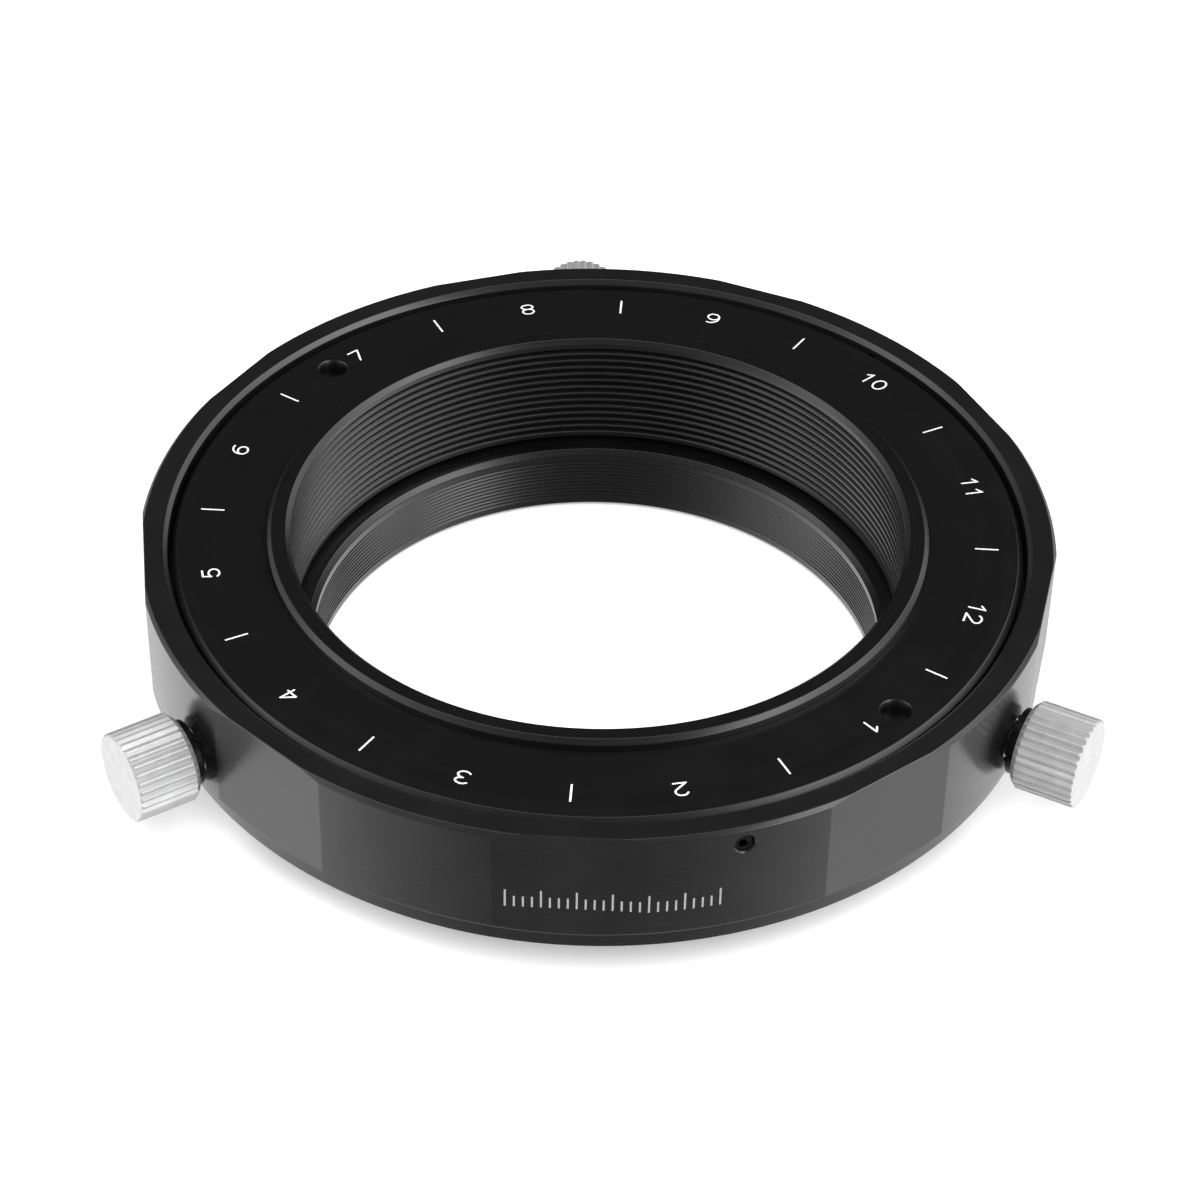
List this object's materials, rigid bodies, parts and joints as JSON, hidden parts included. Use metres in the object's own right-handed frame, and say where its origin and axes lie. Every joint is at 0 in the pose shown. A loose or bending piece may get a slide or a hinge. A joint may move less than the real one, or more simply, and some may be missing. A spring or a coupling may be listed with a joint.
{
  "type": "optical rotation mount",
  "caption": "Black ring rotator for a 54 mm optical train: threaded inner rotor with a numbered dial turns in a body ring and is clamped by knurled radial thumbscrews.",
  "frame": {"origin": "on the optical axis, in the plane of the body's underside, at the root of the male thread", "axes": "+Z along the optical axis toward the camera side and the dial, -Y to the front"},
  "size_m": [0.0838, 0.0857, 0.0181],
  "materials": {
    "black_anodised": "satin black anodised, turned",
    "black_anodised_fine": "matte black anodised, fine threads",
    "dial_black": "bead-blasted matte black anodised",
    "white_paint": "white paint filled into engraving",
    "glide_plastic": "white PTFE sheet",
    "bright_aluminium": "bright straight-knurled aluminium",
    "stud_steel": "rolled thread, plain steel",
    "pad_brass": "turned brass",
    "screw_black": "black oxide"
  },
  "bodies": {
    "housing": {"body_ring": "black_anodised", "base_adapter_ring": "black_anodised_fine", "upper_glide_ring": "glide_plastic", "lower_glide_ring": "glide_plastic", "captive_screw_1": "screw_black", "captive_screw_2": "screw_black", "captive_screw_3": "screw_black"},
    "rotor": {"rotor_sleeve": "black_anodised_fine", "dial_ring": "dial_black", "dial_figures": "white_paint", "dial_ticks": "white_paint"},
    "clamp_1": {"clamp_pad_1": "pad_brass"},
    "thumbscrew_1": {"thumbscrew_head_1": "bright_aluminium", "thumbscrew_stud_1": "stud_steel"},
    "clamp_2": {"clamp_pad_2": "pad_brass"},
    "thumbscrew_2": {"thumbscrew_head_2": "bright_aluminium", "thumbscrew_stud_2": "stud_steel"},
    "clamp_3": {"clamp_pad_3": "pad_brass"},
    "thumbscrew_3": {"thumbscrew_head_3": "bright_aluminium", "thumbscrew_stud_3": "stud_steel"}
  },
  "joints": [
    {"name": "rotor_spin", "type": "hinge", "parent": "housing", "child": "rotor", "pos_m": [0, 0, 0], "axis": [0, 0, 1], "continuous": true},
    {"name": "clamp_1_travel", "type": "slide", "parent": "housing", "child": "clamp_1", "axis": [-0.0488, 0.9988, 0], "range_m": [0, 0.0014]},
    {"name": "thumbscrew_1_turn", "type": "hinge", "parent": "clamp_1", "child": "thumbscrew_1", "pos_m": [-0.00205, 0.04195, 0.0044], "axis": [-0.0488, 0.9988, 0], "range_deg": [0, 720]},
    {"name": "clamp_2_travel", "type": "slide", "parent": "housing", "child": "clamp_2", "axis": [-0.8406, -0.5417, 0], "range_m": [0, 0.0014]},
    {"name": "thumbscrew_2_turn", "type": "hinge", "parent": "clamp_2", "child": "thumbscrew_2", "pos_m": [-0.0353, -0.02275, 0.0044], "axis": [-0.8406, -0.5417, 0], "range_deg": [0, 720]},
    {"name": "clamp_3_travel", "type": "slide", "parent": "housing", "child": "clamp_3", "axis": [0.8894, -0.4571, 0], "range_m": [0, 0.0014]},
    {"name": "thumbscrew_3_turn", "type": "hinge", "parent": "clamp_3", "child": "thumbscrew_3", "pos_m": [0.03736, -0.0192, 0.0044], "axis": [0.8894, -0.4571, 0], "range_deg": [0, 720]}
  ],
  "couplings": [
    {"joint": "thumbscrew_1_turn", "follows": "clamp_1_travel", "rad_per_m": 8976},
    {"joint": "thumbscrew_2_turn", "follows": "clamp_2_travel", "rad_per_m": 8976},
    {"joint": "thumbscrew_3_turn", "follows": "clamp_3_travel", "rad_per_m": 8976}
  ]
}
